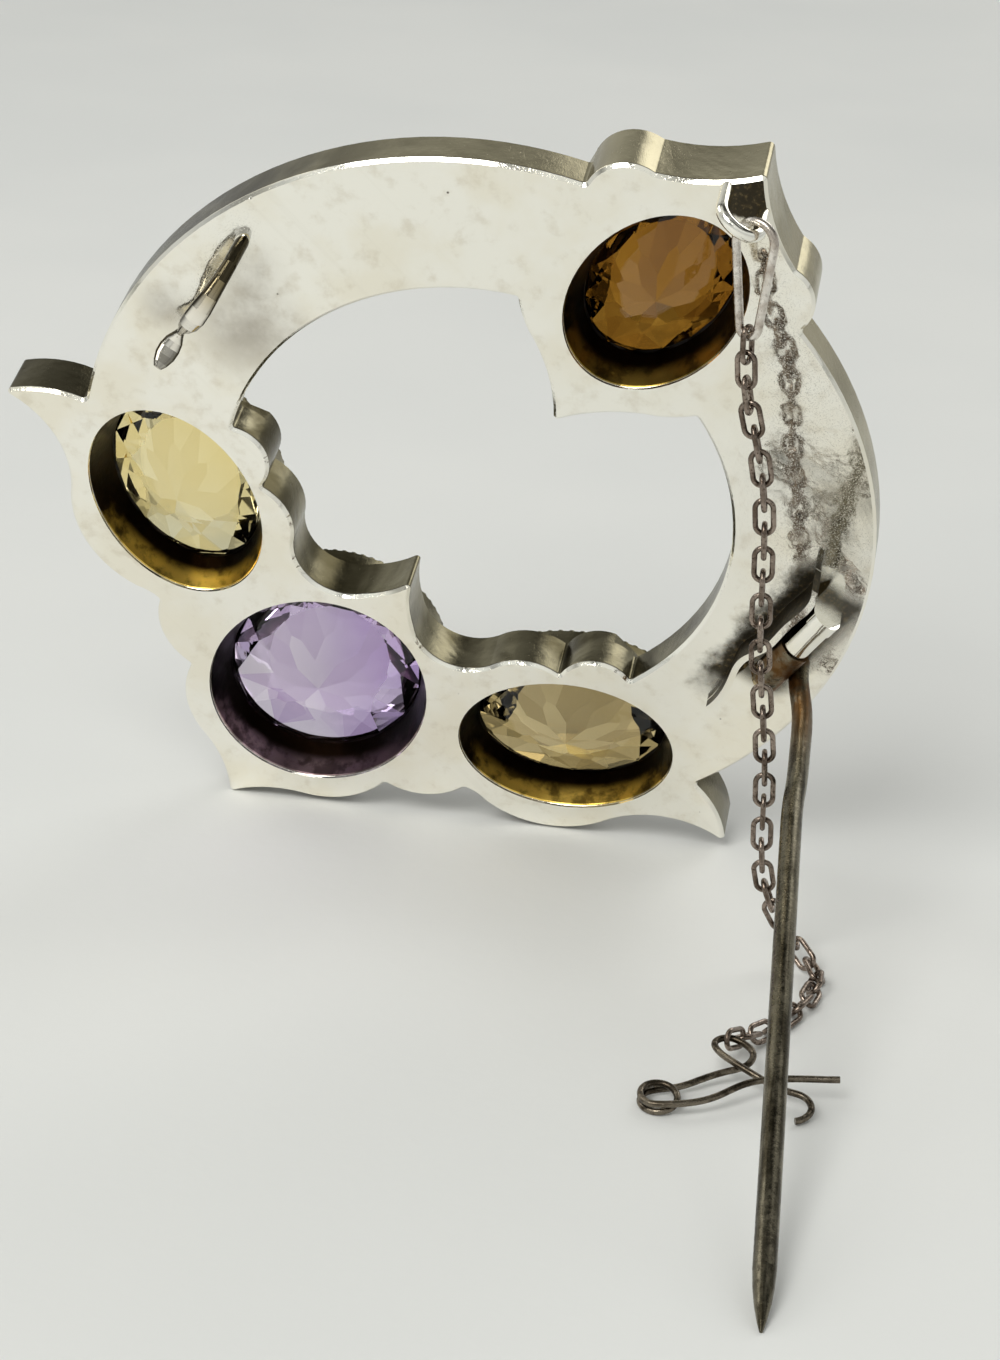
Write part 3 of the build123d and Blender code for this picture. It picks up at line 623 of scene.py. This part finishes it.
grey = banded_agate(
    "grey_agate",
    [
        (0.0, opaque(0.60, 0.60, 0.60)),
        (0.3, opaque(0.26, 0.27, 0.30)),
        (0.45, opaque(0.72, 0.71, 0.69)),
        (0.7, opaque(0.38, 0.37, 0.37)),
        (1.0, opaque(0.16, 0.155, 0.16)),
    ],
    scale=0.55,
)
green = banded_agate(
    "green_agate",
    [
        (0.0, opaque(0.03, 0.085, 0.05)),
        (0.6, opaque(0.07, 0.14, 0.085)),
        (1.0, opaque(0.02, 0.05, 0.035)),
    ],
    scale=0.2, specks=opaque(0.30, 0.05, 0.03),
)
PANELS_A_SIDE = 3
for first, agate in ((1, red), (2, grey), (3, green)):
    finishes[f"agate_panel_{first}"] = agate
    finishes[f"agate_panel_{first + PANELS_A_SIDE}"] = agate
for name, material in finishes.items():
    cover(nodes[name], material)


def deselect():
    if bpy.context.object and bpy.context.object.mode != "OBJECT":
        bpy.ops.object.mode_set(mode="OBJECT")
    bpy.ops.object.select_all(action="DESELECT")


def settle(piece, name, frame_matrix=None):
    """Names a piece, moves it from the brooch's own directions into place and applies that."""
    deselect()
    piece.select_set(True)
    bpy.context.view_layer.objects.active = piece
    if frame_matrix is not None:
        piece.matrix_world = frame_matrix @ piece.matrix_world
        bpy.context.view_layer.update()
    bpy.ops.object.transform_apply(location=True, rotation=True, scale=True)
    piece.name = name
    piece.data.name = name
    return piece


GRAIN_SEAT = 0.45             # how far behind its middle a grain is cut flat, in radii
GRAIN_DOME = 0.9
GRAIN_SMOOTH = math.radians(60)


def grain_row(name, places, size):
    """A row of small domed grains on the front. Each place is across, along and its depth."""
    deselect()
    bpy.ops.mesh.primitive_ico_sphere_add(subdivisions=2, radius=size * MM)
    grain = bpy.context.object
    bpy.ops.object.mode_set(mode="EDIT")
    bpy.ops.mesh.select_all(action="SELECT")
    bpy.ops.mesh.bisect(
        plane_co=(0, 0, GRAIN_SEAT * size * MM), plane_no=(0, 0, 1), use_fill=True,
        clear_outer=True,
    )
    bpy.ops.mesh.select_all(action="SELECT")
    bpy.ops.transform.resize(value=(1, 1, GRAIN_DOME))
    deselect()
    row = []
    for across, along, depth in places:
        copy = grain.copy()
        copy.data = grain.data.copy()
        copy.location = Vector((across, along, -depth)) * MM
        bpy.context.scene.collection.objects.link(copy)
        row.append(copy)
    bpy.data.objects.remove(grain)
    for copy in row:
        copy.select_set(True)
    bpy.context.view_layer.objects.active = row[0]
    bpy.context.view_layer.update()
    bpy.ops.object.join()
    piece = settle(bpy.context.object, name, BROOCH)
    bpy.ops.object.shade_smooth_by_angle(angle=GRAIN_SMOOTH)
    cover(piece, silver)
    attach(piece, "brooch")


# Grains round the settings
COLLAR_GRAIN = 0.33
COLLAR_WIDER = 1.14           # a collar's line outside the girdle
COLLAR_DEPTH = 5.2
for stone in STONES:
    wide, narrow = stone.half_length + COLLAR_WIDER, stone.half_width + COLLAR_WIDER
    count = round(math.pi * (wide + narrow) / (2 * COLLAR_GRAIN))
    turn = math.radians(stone.slope)
    places = []
    for k in range(count):
        angle = 2 * math.pi * k / count
        first, second = wide * math.cos(angle), narrow * math.sin(angle)
        places.append((
            stone.across + first * math.cos(turn) - second * math.sin(turn),
            stone.along + first * math.sin(turn) + second * math.cos(turn),
            COLLAR_DEPTH,
        ))
    grain_row(f"collar_{stone.name}", places, COLLAR_GRAIN)

# Grains along the rims of the front: each line's radius, its middle along, and its name
RIM_LINES = [(25.42, 0.0, "outer"), (17.18, 0.5, "inner")]
RIM_DEPTH = 2.6
RIM_GRAIN = 0.26
RIM_PITCH = 2.15 * RIM_GRAIN
RIM_START = math.radians(-9.0)
RIM_SPAN = math.radians(72.0)
for side, side_name in ((1, "right"), (-1, "left")):
    for radius, middle, edge_name in RIM_LINES:
        count = round(RIM_SPAN * radius / RIM_PITCH)
        places = []
        for k in range(count + 1):
            angle = RIM_START + RIM_SPAN * k / count
            places.append((
                side * radius * math.cos(angle), middle + radius * math.sin(angle), RIM_DEPTH
            ))
        grain_row(f"rim_grains_{side_name}_{edge_name}", places, RIM_GRAIN)

# Floor
FLOOR_SIZE = 3.0
deselect()
bpy.ops.mesh.primitive_plane_add(size=FLOOR_SIZE, location=(0, 0, 0))
floor = settle(bpy.context.object, "floor")
cover(floor, floor_paper())

# Camera at the photograph's angle
CAMERA_PLACE = Vector((32.25, -156.73, 93.3))
CAMERA_FORWARD = Vector((-0.1472, 0.9009, -0.4082))
CAMERA_RIGHT = Vector((0.9832, 0.1783, 0.039))
CAMERA_UP = CAMERA_RIGHT.cross(CAMERA_FORWARD)
CAMERA_LENS = 77.58
NEAREST, FARTHEST = 0.005, 10.0
camera_data = bpy.data.cameras.new("camera")
camera = bpy.data.objects.new("camera", camera_data)
bpy.context.scene.collection.objects.link(camera)
camera.matrix_world = Matrix((CAMERA_RIGHT, CAMERA_UP, -CAMERA_FORWARD)).transposed().to_4x4()
camera.location = CAMERA_PLACE * MM
camera_data.lens = CAMERA_LENS
camera_data.clip_start, camera_data.clip_end = NEAREST, FARTHEST
bpy.context.scene.camera = camera


def softbox(name, place, aim, size, power, colour):
    """A square area light that looks at a point."""
    lamp_data = bpy.data.lights.new(name, "AREA")
    lamp_data.energy = power
    lamp_data.size = size
    lamp_data.color = colour
    lamp = bpy.data.objects.new(name, lamp_data)
    bpy.context.scene.collection.objects.link(lamp)
    lamp.location = place
    lamp.rotation_euler = (Vector(aim) - Vector(place)).to_track_quat("-Z", "Y").to_euler()


softbox(
    "front_window", place=(-0.16, -0.34, 0.46), aim=(0, -0.01, 0.02), size=0.30, power=2.0,
    colour=(1.0, 1.0, 0.97),
)
softbox(
    "side_window", place=(-0.42, 0.12, 0.34), aim=(0, 0.02, 0.02), size=0.25, power=0.40,
    colour=(1.0, 1.0, 0.97),
)
softbox(
    "rear_window", place=(0.22, 0.44, 0.36), aim=(0, 0.02, 0.01), size=0.30, power=0.5,
    colour=(1.0, 1.0, 0.98),
)

# Surroundings: a pale room with a few broad darker parts, which the polished metal mirrors, and a
# plain pale band round the horizon
ROOM_DARK, ROOM_PALE = opaque(0.05, 0.05, 0.045), opaque(0.74, 0.755, 0.73)
HORIZON = opaque(0.60, 0.61, 0.595)
HORIZON_EDGE = (0.12, 0.40)
world = bpy.data.worlds.new("studio")
world.use_nodes = True
bpy.context.scene.world = world
room = NodeWork(world.node_tree)
direction = room.node("ShaderNodeTexCoord", output="Generated")
patches = room.node(
    "ShaderNodeTexNoise", {}, {"Vector": direction, "Scale": 1.7, "Detail": 1.0}
)
shade = room.bands(patches, [(0.38, ROOM_DARK), (0.58, ROOM_PALE)])
above = room.node("ShaderNodeSeparateXYZ", {}, {0: direction}, "Z")
veil = room.mix(room.rise(above, *HORIZON_EDGE), HORIZON, shade)
background = room.node("ShaderNodeBackground", {}, {"Color": veil})
room.node("ShaderNodeOutputWorld", {}, {"Surface": background})
bpy.context.scene.view_settings.view_transform = "Standard"

deselect()
